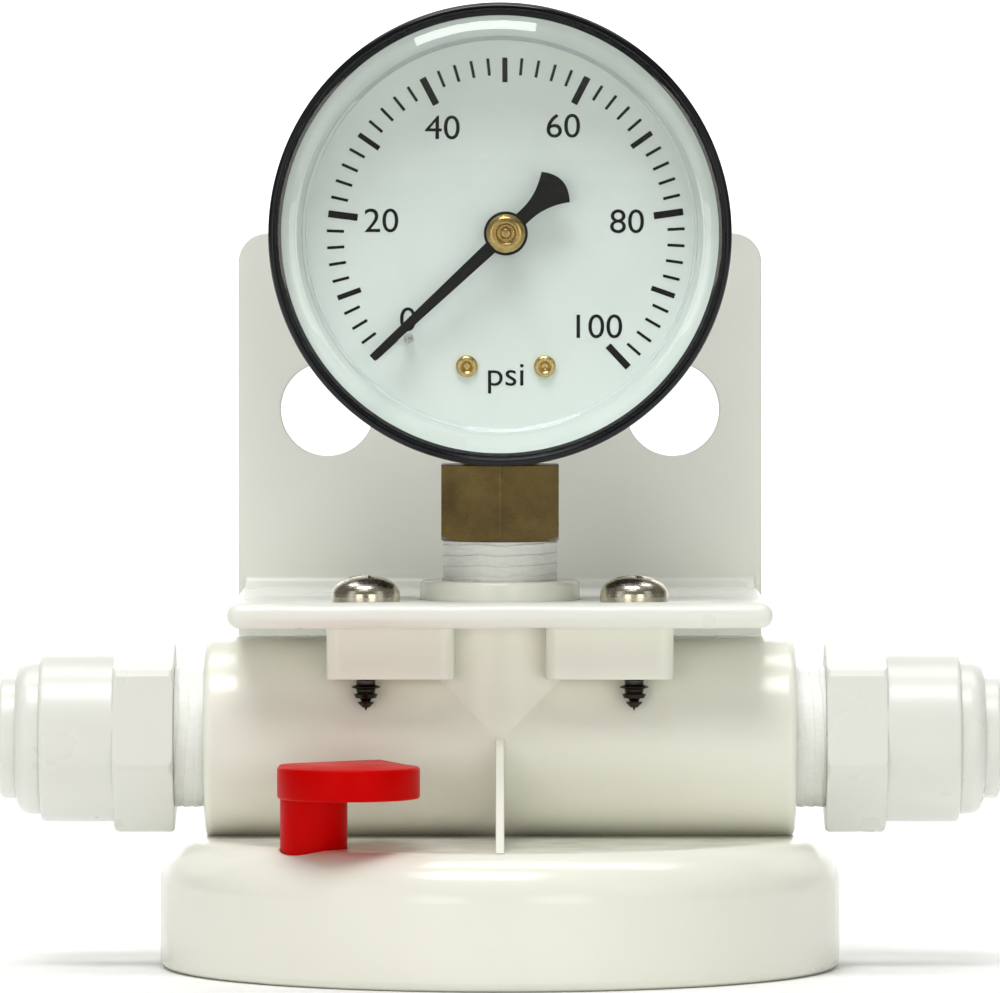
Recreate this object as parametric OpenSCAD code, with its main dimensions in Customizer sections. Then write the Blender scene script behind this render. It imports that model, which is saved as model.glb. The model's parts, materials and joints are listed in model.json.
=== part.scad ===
// Filter head for a water purifier: a cartridge cap and a tee manifold with a pressure gauge,
// a wall bracket, a quarter-turn shut-off lever and two push-fit tube ports.
// Millimetres, +Z up, front towards -Y. The origin is the centre of the cartridge socket's
// mouth, in the plane of the cap's rim.

/* [Cap] */
// Outside radius of the cap
cap_r = 41.2; // [40.8:0.1:43]
// Height of the deck above the rim
cap_h = 16; // [15.8:0.1:17]
// Radius of the rounded shoulder between skirt and deck
shoulder_r = 5.6; // [4:0.1:6]
// Radius of the rounded edge at the rim
rim_round = 1.2; // [0.5:0.1:1.4]
// Thickness of the skirt
skirt_t = 3; // [2.4:0.1:3.2]
// Thickness of the deck
deck_t = 3.5; // [3.2:0.1:3.8]
// Radius of the cartridge socket
socket_r = 22; // [21.6:0.1:22.4]
// Wall of the sleeve around the socket
sleeve_t = 2.4; // [2:0.1:2.6]

/* [Manifold] */
// Radius of the tee's run and of its neck
tee_r = 12.24; // [11.9:0.02:12.5]
// Half length of the run
tee_half = 35.7; // [35:0.1:36.5]
// Height of the run's axis
tee_z = 27.9; // [27.5:0.1:28.2]
// Radius of the waterway along the run
water_r = 5; // [4:0.1:5.5]
// Outside radius of the collar around the gauge's thread
collar_r = 9.7; // [9:0.1:9.9]
// Height of the collar above the bracket's underside
collar_h = 4.85; // [4:0.05:6]
// Thickness of the gusset between the tee and the cap's shoulder
gusset_t = 1; // [0.8:0.1:2]

/* [Bracket] */
// Thickness of the coated steel sheet
sheet_t = 2.5; // [2:0.1:3]
// Half width of the wall plate
plate_half = 32.8; // [32.2:0.1:36]
// Height of the wall plate's upper edge
plate_top = 88.9; // [82:0.1:100]
// Height of the wall plate's lower edge
plate_bottom = 34; // [24:0.5:38]
// Front face of the wall plate, behind the axis
plate_y = 39.6; // [39:0.1:50]
// Height of the shelf's underside
shelf_z = 42.05; // [41.5:0.05:43]
// Half width of the shelf
shelf_half = 32; // [30:0.1:32.6]
// Reach of the shelf in front of the axis
shelf_front = 18; // [17.5:0.1:22]
// Radius of the two wall holes
wall_hole_r = 5.83; // [3:0.01:6.5]
// Distance between the two wall holes
wall_hole_span = 43.3; // [30:0.1:46]
// Height of the wall holes
wall_hole_z = 66.8; // [60:0.1:76]
// Sideways place of each bracket screw
screw_x = 16.1; // [14:0.1:17]
// Place of the bracket screws in front of the axis
screw_y = 12.5; // [12.4:0.1:13]

/* [Gauge] */
// Radius of the gauge case's rolled front bead
gauge_r = 27.8; // [27.6:0.1:28.2]
// Height of the gauge's centre
gauge_z = 88.8; // [88.7:0.1:89.2]
// Depth of the case in front of its thread's axis
gauge_front = 14; // [13.8:0.1:15]
// Depth of the case behind its thread's axis
gauge_back = 12; // [12:0.1:14]
// Sideways set of the movement in the case
dial_x = 0.7; // [0:0.1:0.8]
// Width across flats of the brass hexagon
hex_flats = 14.2; // [14:0.1:14.4]
// Radius of the dial
dial_r = 25.3; // [25:0.1:25.4]
// Direction of the pointer at zero, counter-clockwise from the right
zero_angle = 223; // [215:1:235]
// Length of the pointer from its hub to its tip
needle_len = 22; // [18:0.1:22.5]
// Module of the movement's gears
gear_module = 0.25; // [0.25:0.01:0.26]

/* [Lever] */
// Sideways place of the lever's axis
pivot_x = -22.1; // [-22.3:0.1:-22]
// Place of the lever's axis from front to back
pivot_y = -26; // [-26.2:0.1:-25.8]
// Radius of the lever's post
post_r = 4; // [3.6:0.1:4]
// Top of the lever's handle
handle_top = 25.95; // [25.8:0.05:27]
// Thickness of the handle
handle_t = 3.75; // [3:0.05:4.5]
// Radius of the valve plug
plug_r = 5; // [4.6:0.1:5]

/* [Tube fittings] */
// Half of the tube's diameter plus its clearance in the fitting
tube_bore_r = 4.85; // [4.8:0.01:4.9]
// Radius over the pipe thread, with its tape
thread_r = 8.6; // [8.4:0.05:8.7]
// Width across flats of the fitting's hexagon
fitting_flats = 20.7; // [20.2:0.1:21.5]
// Radius of the fitting's barrel
barrel_r = 10.35; // [10:0.05:11]
// Inward travel of the release collet
collet_travel = 1.3; // [0.8:0.1:1.3]

/* [Hidden] */

$fn = 96;
small = 0.05;                    // clearance between a seal, sleeve or insert and its seat
run_gap = 0.05;                  // radial clearance of a turning or sliding piece
cut = 1;                         // how far a cutter runs past the face it opens

deck_z = cap_h - deck_t;         // underside of the deck
sleeve_r = socket_r + sleeve_t;
mouth_r = socket_r + 0.6;
mouth_h = 4.5;                   // the socket is wider up to here
cavity_r = cap_r - skirt_t;

// Waterways in the cap
inlet_x = -27.5;                 // the feed comes down here from the tee's left arm
inlet_r = 2;
outlet_r = 2.6;                  // hole for the treated water, on the axis
duct_r = 1.6;
duct_z = 9.3;                    // level of the duct to the valve
duct_a = atan2(-pivot_y, inlet_x - pivot_x);
duct_len = norm([inlet_x - pivot_x, pivot_y]);
feed_r = 1.2;
feed_z = 6;                      // level of the port from the valve to the socket
pivot_a = atan2(pivot_y, pivot_x);
pivot_d = norm([pivot_x, pivot_y]);
chamber_top = 12.1;              // the valve plug's bore ends here
spindle_seal_levels = [4.1, 11.2];
spigot_seal_levels = [6.6, 9.3];

// Manifold
tee_round = 1;
thread_depth = 5.5;              // how far the fittings screw into the tee
ear_in = 5.5;
ear_out = 20.8;
ear_bottom = 35.5;
ear_front = 15.5;
ear_back = 8;
shelf_top = shelf_z + sheet_t;
collar_top = shelf_z + collar_h;
gauge_hole_r = 7;
gauge_hole_bottom = 36.6;
screw_hole_r = 2.05;

// Gauge
hex_z = 51.7;
hex_top = gauge_z - gauge_r - 0.1;
shell_r = gauge_r - 0.8;         // the case behind its bead
shell_t = 0.8;
block_half = 6.2;
neck_r = 4.8;                     // brass neck through the case wall
block_bottom = 63.9;
block_top = 72;
dial_screw_dx = 4.7;
dial_screw_z = 72.9;
dial_front = -5.6;
dial_t = 0.6;
dial_z = gauge_z - 0.3;          // centre of the dial's scale
arbor_z = gauge_z + 0.1;

// Movement: pinion of ten teeth on the pointer's arbor, sector cut from an eighty-tooth wheel
pinion_teeth = 10;
sector_teeth = 80;
pinion_pitch = pinion_teeth * gear_module / 2;
sector_pitch = sector_teeth * gear_module / 2;
sector_z = arbor_z - pinion_pitch - sector_pitch;
sector_rest = 18;                // the sector leans this far clockwise at zero
tail_len = 4.2;
tail_dir = 261.8;                // direction of the sector's tail at zero
tube_mean_r = 19.5;
tip_dir = -42;
plate_t = 0.8;
front_plate_y = -3.4;
back_plate_y = 2.4;

// ---------------------------------------------------------------- shared shapes

// A post along +Z whose two rims are rounded
module round_post(r, h, e) {
    rotate_extrude() {
        square([r - e, h]);
        translate([0, e]) square([r, h - 2 * e]);
        for (level = [e, h - e]) translate([r - e, level]) circle(e);
    }
}

module ring(r_out, r_in, h) {
    difference() {
        cylinder(r = r_out, h = h);
        translate([0, 0, -cut]) cylinder(r = r_in, h = h + 2 * cut);
    }
}

module o_ring(mean_r, section_r) {
    rotate_extrude() translate([mean_r, 0]) circle(section_r, $fn = 32);
}

// A rectangle from [x0, y0] to [x1, y1] with rounded corners
module rounded(x0, y0, x1, y1, r) {
    translate([x0 + r, y0]) square([x1 - x0 - 2 * r, y1 - y0]);
    translate([x0, y0 + r]) square([x1 - x0, y1 - y0 - 2 * r]);
    for (x = [x0 + r, x1 - r], y = [y0 + r, y1 - r]) translate([x, y]) circle(r);
}

// A bar from a to b, w wide, with round ends
module bar(a, b, w) {
    d = b - a;
    translate(a) circle(w / 2);
    translate(b) circle(w / 2);
    translate(a) rotate(atan2(d[1], d[0])) translate([0, -w / 2]) square([norm(d), w]);
}

// Children are drawn facing forwards: local +Z points to the front, local Y points up
module face_front(y) {
    translate([0, y, 0]) rotate([90, 0, 0]) children();
}

// A flat piece of the gauge between the depths y_front and y_back
module gauge_flat(y_front, y_back) {
    face_front(y_back) linear_extrude(y_back - y_front) children();
}

// Children are drawn pointing along +X, from the axis of the tee's run
module along_run() {
    translate([0, 0, tee_z]) rotate([0, 90, 0]) children();
}

function polar(r, a) = [r * cos(a), r * sin(a)];

// ---------------------------------------------------------------- cap

module cap_outline() {
    square([cap_r - shoulder_r, cap_h]);
    square([cap_r - rim_round, cap_h - shoulder_r]);
    translate([0, rim_round]) square([cap_r, cap_h - shoulder_r - rim_round]);
    translate([cap_r - shoulder_r, cap_h - shoulder_r]) circle(shoulder_r);
    translate([cap_r - rim_round, rim_round]) circle(rim_round);
}

// What stands in the hollow between the skirt and the socket's sleeve
module cap_inside() {
    rib_t = 1.5;
    rib_z = 3;
    for (a = [0:18:342])
        rotate(a) translate([sleeve_r - 1, -rib_t / 2, rib_z])
            cube([cavity_r - sleeve_r + 2, rib_t, deck_z - rib_z + cut]);
    translate([pivot_x, pivot_y, rib_z / 2]) cylinder(r = plug_r + 2.2, h = deck_z);
    translate([pivot_x, pivot_y, rib_z + 1]) rotate(duct_a) translate([0, -3.2, 0])
        cube([duct_len + 3, 6.4, deck_z - rib_z]);
}

module valve_ports() {
    translate([pivot_x, pivot_y, duct_z]) rotate(duct_a) rotate([0, 90, 0])
        cylinder(r = duct_r, h = duct_len);
    translate([pivot_x, pivot_y, feed_z]) rotate(pivot_a + 180) rotate([0, 90, 0])
        cylinder(r = feed_r, h = pivot_d - socket_r + 2);
    translate([inlet_x, 0, duct_z]) cylinder(r = inlet_r, h = cap_h);
    translate([pivot_x, pivot_y, -cut]) cylinder(r = plug_r + run_gap, h = chamber_top + cut);
    translate([pivot_x, pivot_y, 2.25]) cylinder(r = plug_r + 0.7, h = 0.9);
    translate([pivot_x, pivot_y, chamber_top - cut]) cylinder(r = post_r + 0.08, h = cap_h);
}

module cap() {
    color([0.95, 0.95, 0.93]) difference() {
        rotate_extrude($fn = 180) cap_outline();
        difference() {
            translate([0, 0, -cut]) ring(cavity_r, sleeve_r, deck_z + cut, $fn = 180);
            cap_inside();
        }
        translate([0, 0, -cut]) cylinder(r = socket_r, h = deck_z + cut, $fn = 180);
        translate([0, 0, -cut]) cylinder(r = mouth_r, h = mouth_h + cut, $fn = 180);
        cylinder(r = outlet_r, h = cap_h + cut);
        valve_ports();
    }
}

module bayonet_ring() {
    ring_z = 7.4;
    ring_in = socket_r - 1.1;
    lug_in = socket_r - 2.6;
    color([0.9, 0.9, 0.88]) {
        translate([0, 0, ring_z]) ring(socket_r - small, ring_in, deck_z - ring_z);
        translate([0, 0, ring_z + 0.3]) linear_extrude(2.2) for (a = [20, 140, 260])
            rotate(a) intersection() {
                difference() {
                    circle(ring_in + 0.4);
                    circle(lug_in);
                }
                polygon([[0, 0], [25, -10], [25, 10]]);
            }
    }
}

module socket_gasket() {
    color([0.08, 0.08, 0.08]) translate([0, 0, deck_z - 1.6]) ring(16.5, 12, 1.6);
}

module outlet_spigot() {
    color([0.9, 0.9, 0.88]) rotate_extrude() difference() {
        union() {
            translate([0, 5]) square([4.8, deck_z - 5]);
            translate([0, deck_z - 1.5]) square([7.5, 1.5]);
        }
        translate([-cut, 0]) square([outlet_r + cut, cap_h]);
        for (level = spigot_seal_levels) translate([3.8, level - 0.9]) square([2, 1.8]);
    }
}

module spigot_seals() {
    color([0.08, 0.08, 0.08]) for (level = spigot_seal_levels) translate([0, 0, level]) o_ring(4.65, 0.8);
}

// ---------------------------------------------------------------- manifold

module ear_outline() {
    rounded(ear_in, -ear_front, ear_out, ear_back, 1.6);
}

module gusset() {
    translate([-gusset_t / 2, 0, 0]) rotate([90, 0, 90]) linear_extrude(gusset_t)
        polygon([[-tee_r + 2, tee_z + 0.4], [-tee_r, tee_z + 0.4], [1 - cap_r + shoulder_r - 1.6, cap_h],
            [-tee_r + 2, cap_h]]);
}

module manifold_solid() {
    translate([-tee_half, 0, tee_z]) rotate([0, 90, 0]) round_post(tee_r, 2 * tee_half, tee_round);
    translate([0, 0, tee_z]) cylinder(r = tee_r, h = shelf_z - tee_z);
    translate([0, 0, shelf_z - 2]) round_post(collar_r, collar_h + 2, 0.5);
    for (side = [0, 1])
        mirror([side, 0, 0]) translate([0, 0, ear_bottom]) linear_extrude(shelf_z - ear_bottom) ear_outline();
    gusset();
    translate([2.4 - tee_half, -2.8, cap_h]) cube([2 * tee_half - 4.8, 5.6, 2]);
}

module manifold_body() {
    run_end = tee_half - thread_depth;
    color([0.95, 0.95, 0.92]) difference() {
        manifold_solid();
        translate([-cap_r, -cap_r, 0]) cube([2 * cap_r, 2 * cap_r, cap_h]);
        for (side = [0, 1])
            mirror([side, 0, 0]) {
                along_run() translate([0, 0, run_end]) cylinder(r = thread_r + small, h = thread_depth + cut);
                translate([screw_x, -screw_y, ear_bottom - cut])
                    cylinder(r = screw_hole_r, h = shelf_z - ear_bottom + 2 * cut);
            }
        along_run() translate([0, 0, -3]) cylinder(r = water_r, h = run_end + 4);
        along_run() translate([0, 0, -run_end - cut]) cylinder(r = water_r, h = cut + run_end + inlet_x + 3);
        translate([0, 0, gauge_hole_bottom]) cylinder(r = gauge_hole_r, h = collar_top);
        translate([0, 0, cap_h - cut]) cylinder(r = outlet_r, h = gauge_hole_bottom - cap_h + 2 * cut);
        translate([inlet_x, 0, cap_h - cut]) cylinder(r = inlet_r, h = tee_z - cap_h + cut);
    }
}

// ---------------------------------------------------------------- bracket

module shelf_outline() {
    corner = 4;
    rounded(-shelf_half, -shelf_front, shelf_half, 0, corner);
    translate([-shelf_half, -corner]) square([2 * shelf_half, plate_y + corner]);
}

module wall_bracket() {
    fillet = 2;
    color([0.93, 0.94, 0.93]) difference() {
        union() {
            face_front(plate_y + sheet_t) linear_extrude(sheet_t)
                rounded(-plate_half, plate_bottom, plate_half, plate_top, 3.7);
            translate([0, 0, shelf_z]) linear_extrude(sheet_t) shelf_outline();
            translate([-shelf_half, plate_y - fillet, shelf_top]) rotate([90, 0, 90])
                linear_extrude(2 * shelf_half) difference() {
                    square(fillet);
                    translate([0, fillet]) circle(fillet);
                }
        }
        for (side = [-1, 1]) {
            translate([side * wall_hole_span / 2, 0, wall_hole_z]) face_front(plate_y + sheet_t + cut)
                cylinder(r = wall_hole_r, h = sheet_t + 2 * cut);
            translate([side * screw_x, -screw_y, shelf_z - cut]) cylinder(r = 2.4, h = sheet_t + 2 * cut);
        }
        translate([0, 0, shelf_z - cut]) cylinder(r = collar_r + 0.15, h = sheet_t + 2 * cut);
    }
}

// Half section of a pan-head self-tapping screw, its head resting on level 0
module screw_section() {
    head_r = 4.1;
    head_edge = 0.8;
    head_h = 3.35;
    dome = 0.88;
    point_z = 31.6 - shelf_top;
    core_r = 1.15;
    thread_out = 1.75;
    pitch = 1.05;
    polygon([[0, 0], [head_r, 0],
        for (a = [0:7.5:90]) [head_r * pow(cos(a), dome), head_edge + (head_h - head_edge) * pow(sin(a), dome)]]);
    polygon([[0, point_z], [core_r, point_z + 2.4], [core_r, 0.1], [0, 0.1]]);
    intersection() {
        for (k = [1:11]) translate([0, -k * pitch - 0.6])
            polygon([[0, -0.4], [core_r, -0.3], [thread_out, -0.05], [thread_out, 0.05], [core_r, 0.3], [0, 0.4]]);
        polygon([[0.3, point_z + 0.3], [0.9, point_z + 0.9], [thread_out + 0.1, point_z + 2.8],
            [thread_out + 0.1, 0], [0, 0], [0, point_z + 0.3]]);
    }
}

module bracket_screws() {
    slot_w = 0.9;
    color([0.72, 0.70, 0.62]) for (side = [-1, 1])
        translate([side * screw_x, -screw_y, shelf_top]) difference() {
            rotate_extrude() screw_section();
            for (a = [20, 110])
                rotate(a) translate([-2.2, -slot_w / 2, 2]) cube([4.4, slot_w, 2]);
        }
}

// ---------------------------------------------------------------- shut-off valve

// Handle seen from above, as offsets from the pivot: a round front and a pointed back
module handle_outline() {
    front_r = 8.45;
    front_c = [4.2, -4.6];
    back = [7.9, 11];
    translate(front_c) circle(front_r);
    circle(4.2);
    polygon([front_c - [front_r, 0], polar(4.2, 180), polar(4.2, 130), back, front_c + [front_r, 0]]);
}

module valve_lever() {
    drive = 4.1;
    color([0.78, 0.02, 0.02]) translate([pivot_x, pivot_y, 0]) difference() {
        union() {
            translate([0, 0, handle_top - handle_t]) linear_extrude(handle_t) handle_outline();
            translate([0, 0, chamber_top + 0.2]) cylinder(r = post_r, h = handle_top - chamber_top - 1);
        }
        translate([-drive / 2, -drive / 2, chamber_top]) cube([drive, drive, 5.6]);
    }
}

module valve_spindle() {
    drive = 4;
    color([0.85, 0.83, 0.75]) translate([pivot_x, pivot_y, 0]) difference() {
        union() {
            rotate_extrude() difference() {
                translate([0, 3.3]) square([plug_r, 8.7]);
                for (level = spindle_seal_levels) translate([3.6, level - 0.7]) square([2, 1.4]);
            }
            translate([-drive / 2, -drive / 2, 12 - 0.1]) cube([drive, drive, 5.5]);
        }
        translate([0, 0, duct_z]) rotate(duct_a) rotate([0, 90, 0])
            cylinder(r = duct_r - 0.3, h = plug_r + cut);
        translate([0, 0, feed_z]) rotate(pivot_a + 180) rotate([0, 90, 0])
            cylinder(r = feed_r - 0.1, h = plug_r + cut);
        translate([0, 0, feed_z - 0.3]) cylinder(r = 0.9, h = duct_z - feed_z + 0.6);
    }
}

module spindle_seals() {
    color([0.08, 0.08, 0.08]) translate([pivot_x, pivot_y, 0])
        for (level = spindle_seal_levels) translate([0, 0, level]) o_ring(4.28, 0.66);
}

module spindle_snap_ring() {
    color([0.7, 0.7, 0.72]) translate([pivot_x, pivot_y, 2.3]) difference() {
        ring(plug_r + 0.6, 3.8, 0.8);
        rotate(pivot_a) translate([0, -1.5, -cut]) cube([10, 3, 3]);
    }
}

// ---------------------------------------------------------------- gauge

module gauge_socket() {
    point_r = hex_flats / 2 / cos(30);
    color([0.62, 0.50, 0.24]) difference() {
        union() {
            translate([0, 0, gauge_hole_bottom + 0.3]) cylinder(r = 6.5, h = hex_z - gauge_hole_bottom);
            intersection() {
                translate([0, 0, hex_z]) rotate(30) cylinder(r = point_r, h = hex_top - hex_z, $fn = 6);
                translate([0, 0, hex_z]) rotate_extrude()
                    polygon([[0, 0], [hex_flats / 2, 0], [point_r, 0.7], [point_r, 12], [0, 12]]);
            }
            translate([0, 0, hex_top - cut]) cylinder(r = neck_r, h = block_bottom - hex_top + 2 * cut);
            translate([dial_x - block_half, -4, block_bottom])
                cube([2 * block_half, gauge_back - shell_t + 4, block_top - block_bottom]);
            for (side = [-1, 1])
                translate([dial_x + side * dial_screw_dx, 0, dial_screw_z]) face_front(-1.2)
                    cylinder(r = 1.8, h = -dial_front - dial_t - 1.2 - small);
        }
        translate([0, 0, gauge_hole_bottom]) cylinder(r = 1.6, h = 68 - gauge_hole_bottom);
        translate([-cap_r / 3, 4.7, 67]) rotate([0, 90, 0]) cylinder(r = 1, h = cap_r / 3);
        translate([0, -0.5, 67]) rotate([-90, 0, 0]) cylinder(r = 1, h = 5.2);
        for (side = [-1, 1]) {
            translate([dial_x + side * dial_screw_dx, 0, dial_screw_z]) face_front(-2)
                cylinder(r = 0.8, h = 6);
            translate([dial_x + side * 3.6, 0, 68]) face_front(gauge_back + cut) cylinder(r = 1.25, h = 8);
        }
    }
}

module gauge_thread_tape() {
    color([0.92, 0.94, 0.94]) translate([0, 0, 38]) ring(6.95, 6.5 + small, hex_z - 38 - small);
}

module gauge_case_section() {
    bead_t = 2.7;
    difference() {
        union() {
            translate([0, -gauge_back]) square([shell_r - 1.5, gauge_back + gauge_front - 1]);
            translate([0, 1.5 - gauge_back]) square([shell_r, gauge_back + gauge_front - 2.5]);
            translate([shell_r - 1.5, 1.5 - gauge_back]) circle(1.5);
            translate([0, gauge_front - bead_t + 0.5]) square([gauge_r, bead_t - 1]);
            translate([0, gauge_front - bead_t]) square([gauge_r - 0.5, bead_t]);
            for (level = [gauge_front - 0.5, gauge_front - bead_t + 0.5])
                translate([gauge_r - 0.5, level]) circle(0.5);
        }
        translate([-cut, shell_t - gauge_back])
            square([shell_r - shell_t + cut, gauge_back + gauge_front]);
        translate([-cut, gauge_front - bead_t + 0.8]) square([gauge_r - 0.9 + cut, bead_t]);
    }
}

module gauge_case() {
    ledge_r = 24.2;
    color([0.06, 0.06, 0.07]) difference() {
        union() {
            translate([0, 0, gauge_z]) face_front(0) rotate_extrude($fn = 180) gauge_case_section();
            translate([0, 0, gauge_z]) face_front(dial_front + dial_t + 0.9)
                ring(shell_r - shell_t / 2, ledge_r, 0.8);
        }
        translate([0, 0, gauge_z - gauge_r - cut]) cylinder(r = neck_r + 0.1, h = 5);
        translate([0, 0, gauge_z + 12]) face_front(gauge_back + cut) cylinder(r = 5, h = 3);
        for (side = [-1, 1])
            translate([dial_x + side * 3.6, 0, 68]) face_front(gauge_back + cut) cylinder(r = 1.3, h = 3);
    }
}

module case_plug() {
    color([0.1, 0.1, 0.1]) translate([0, 0, gauge_z + 12]) {
        face_front(gauge_back) cylinder(r = 5 - small, h = shell_t + 1);
        face_front(gauge_back + 1.2) cylinder(r = 6.2, h = 1.2);
        face_front(gauge_back - shell_t - 0.2) cylinder(r = 5.5, h = 0.8);
    }
}

module case_screws() {
    color([0.7, 0.7, 0.68]) for (side = [-1, 1])
        translate([dial_x + side * 3.6, 0, 68]) difference() {
            union() {
                face_front(gauge_back + 1.3) round_post(2.2, 1.3, 0.5);
                face_front(gauge_back + small) cylinder(r = 1.2, h = 6);
            }
            translate([-3, gauge_back + 0.6, -0.3]) cube([6, 2, 0.6]);
        }
}

module gauge_lens() {
    window = gauge_front - 0.9;
    color([0.8, 0.9, 0.9, 0.35]) translate([0, 0, gauge_z]) face_front(0) rotate_extrude($fn = 180) {
        translate([0, window - 1.2]) square([24.4, 1.2]);
        translate([24, window - 0.95]) square([1.2, 1.9]);
        translate([25, window - 0.95]) square([1.8, 1.2]);
        translate([26, window - 0.95]) square([0.8, 2.1]);
    }
}

module gauge_dial() {
    color([0.82, 0.86, 0.84]) gauge_flat(dial_front, dial_front + dial_t) difference() {
        translate([dial_x, dial_z]) circle(dial_r, $fn = 180);
        translate([dial_x, arbor_z]) circle(1.2);
        for (side = [-1, 1]) translate([dial_x + side * dial_screw_dx, dial_screw_z]) circle(0.85);
        translate([dial_x, arbor_z]) rotate(zero_angle + 4.1) translate([17.2, 0]) circle(0.45 + small);
    }
}

module dial_screws() {
    color([0.72, 0.55, 0.2]) for (side = [-1, 1])
        translate([dial_x + side * dial_screw_dx, 0, dial_screw_z]) {
            face_front(dial_front) round_post(1.32, 0.7, 0.2);
            face_front(-2.6) cylinder(r = 0.75, h = 3.2);
        }
}

module stop_pin() {
    color([0.75, 0.76, 0.76]) translate([dial_x, 0, arbor_z]) {
        face_front(dial_front) rotate(zero_angle + 4.1) translate([17.2, 0, 0]) cylinder(r = 0.6, h = 3.7);
        face_front(dial_front + dial_t) rotate(zero_angle + 4.1) translate([17.2, 0, 0])
            cylinder(r = 0.45, h = 1);
    }
}

module tube_section(r) {
    translate([tube_mean_r - r, 1.2]) square([2 * r, 4]);
    for (level = [1.2, 5.2]) translate([tube_mean_r, level]) circle(r, $fn = 48);
}

// The tube curls clockwise from the block's left side over the top to its tip at the lower right
module bourdon_tube() {
    start = tip_dir + 4;
    color([0.75, 0.6, 0.3]) difference() {
        translate([dial_x, 0, gauge_z]) face_front(7.9) rotate(start) rotate_extrude(angle = 255 - start)
            difference() {
                tube_section(1.2);
                tube_section(0.8);
            }
        translate([dial_x - block_half, -5, block_bottom - cut])
            cube([2 * block_half, 20, block_top - block_bottom + cut]);
    }
}

module tube_tip() {
    color([0.7, 0.55, 0.25]) translate([dial_x, 0, gauge_z]) face_front(7.9)
        rotate(tip_dir - 4) rotate_extrude(angle = 8) translate([tube_mean_r - 1.4, 0]) square([2.8, 6.6]);
}

tail_pin = [dial_x, sector_z] + polar(tail_len, tail_dir);
tip_pin = [dial_x, gauge_z] + polar(tube_mean_r, tip_dir);

module tip_link() {
    color([0.75, 0.6, 0.3]) gauge_flat(0, 0.5) difference() {
        bar(tail_pin, tip_pin, 1.5);
        translate(tail_pin) circle(0.45);
        translate(tip_pin) circle(0.45);
    }
}

module movement_plate(y) {
    color([0.72, 0.58, 0.28]) gauge_flat(y, y + plate_t) difference() {
        union() {
            translate([dial_x, arbor_z]) circle(3.2);
            translate([dial_x, sector_z + 1.3]) circle(5.2);
            translate([dial_x - 3.2, sector_z]) square([6.4, arbor_z - sector_z]);
            translate([dial_x - 2.6, block_top]) square([5.2, sector_z - block_top]);
        }
        translate([dial_x, arbor_z]) circle(0.55 + run_gap);
        translate([dial_x, sector_z]) circle(0.6 + run_gap);
    }
}

module movement_back_plate() {
    movement_plate(back_plate_y);
}

module movement_front_plate() {
    movement_plate(front_plate_y);
}

module movement_pillars() {
    color([0.72, 0.58, 0.28]) for (side = [-1, 1])
        translate([dial_x + side * 4, 0, sector_z + 2.5]) face_front(back_plate_y)
            cylinder(r = 0.8, h = back_plate_y - front_plate_y - plate_t);
}

// One slim gear tooth pointing along +X, on a wheel of pitch radius r
module tooth(r) {
    polygon([[r - 0.45, -0.17], [r - 0.3, -0.17], [r + 0.2, -0.08], [r + 0.2, 0.08], [r - 0.3, 0.17], [r - 0.45, 0.17]]);
}

module sector_outline() {
    half = 24;
    rotate(90 - sector_rest) {
        intersection() {
            difference() {
                circle(sector_pitch - 0.35, $fn = 180);
                circle(sector_pitch - 1.7, $fn = 180);
            }
            polygon([[0, 0], polar(14, half), polar(14, -half)]);
        }
        for (k = [-5:5]) rotate(k * 360 / sector_teeth) tooth(sector_pitch);
        for (a = [18, -18]) rotate(a) translate([0, -0.6]) square([sector_pitch - 1, 1.2]);
    }
    circle(1.7);
    bar([0, 0], polar(tail_len, tail_dir), 1.9);
}

module sector_gear() {
    color([0.72, 0.58, 0.28]) {
        translate([dial_x, 0, sector_z]) {
            gauge_flat(-1, -0.2) sector_outline();
            face_front(back_plate_y + plate_t - small)
                cylinder(r = 0.6, h = back_plate_y - front_plate_y + plate_t - 2 * small);
        }
        translate([tail_pin[0], 0, tail_pin[1]]) face_front(0.7) cylinder(r = 0.4, h = 1.2);
    }
}

module pointer_arbor() {
    color([0.7, 0.55, 0.25]) translate([dial_x, 0, arbor_z]) {
        face_front(back_plate_y + plate_t - small) cylinder(r = 0.55, h = back_plate_y + plate_t - small + 8.1);
        gauge_flat(-1.9, 0.6) {
            circle(pinion_pitch - 0.32);
            for (k = [0:pinion_teeth - 1]) rotate(k * 360 / pinion_teeth) tooth(pinion_pitch);
        }
    }
}

// Flat spiral spring: its centre line grows from spring_in to spring_out over spring_turns
spring_in = 1.1;
spring_out = 3.4;
spring_turns = 4;
spring_w = 0.12;
function spiral(t, w) =
    polar(spring_in + (spring_out - spring_in) * t / spring_turns + w, 360 * t);

module hairspring() {
    step = 1 / 20;
    outer = [for (t = [0:step:spring_turns]) spiral(t, spring_w / 2)];
    inner = [for (t = [spring_turns:-step:0]) spiral(t, -spring_w / 2)];
    color([0.75, 0.62, 0.35]) translate([dial_x, 0, arbor_z]) {
        gauge_flat(1, 1.5) polygon(concat(outer, inner));
        face_front(1.7) ring(spring_in, 0.55 + small, 0.9);
    }
}

// Slim needle, and a tail that flares to a blunt rounded end
module pointer_outline() {
    neck = 0.85;
    tail_in = 3.4;
    tail_out = 8.2;
    tail_half = 2.5;
    flare = [for (t = [0:0.125:1]) [-tail_in - (tail_out - tail_in) * t, neck + (tail_half - neck) * t * t]];
    end = [for (t = [1:-0.25:0.25]) [-tail_out - 1.1 * (1 - t * t), tail_half * t]];
    upper = concat([[0, neck]], flare, end);
    circle(2.65);
    polygon(concat([[needle_len, -0.46], [needle_len, 0.46]], upper, [[-tail_out - 1.1, 0]],
        [for (k = [len(upper) - 1:-1:0]) [upper[k][0], -upper[k][1]]]));
}

module pointer() {
    color([0.05, 0.05, 0.05]) translate([dial_x, 0, arbor_z]) gauge_flat(-8.6, -8.1) rotate(zero_angle)
        pointer_outline();
}

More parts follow.
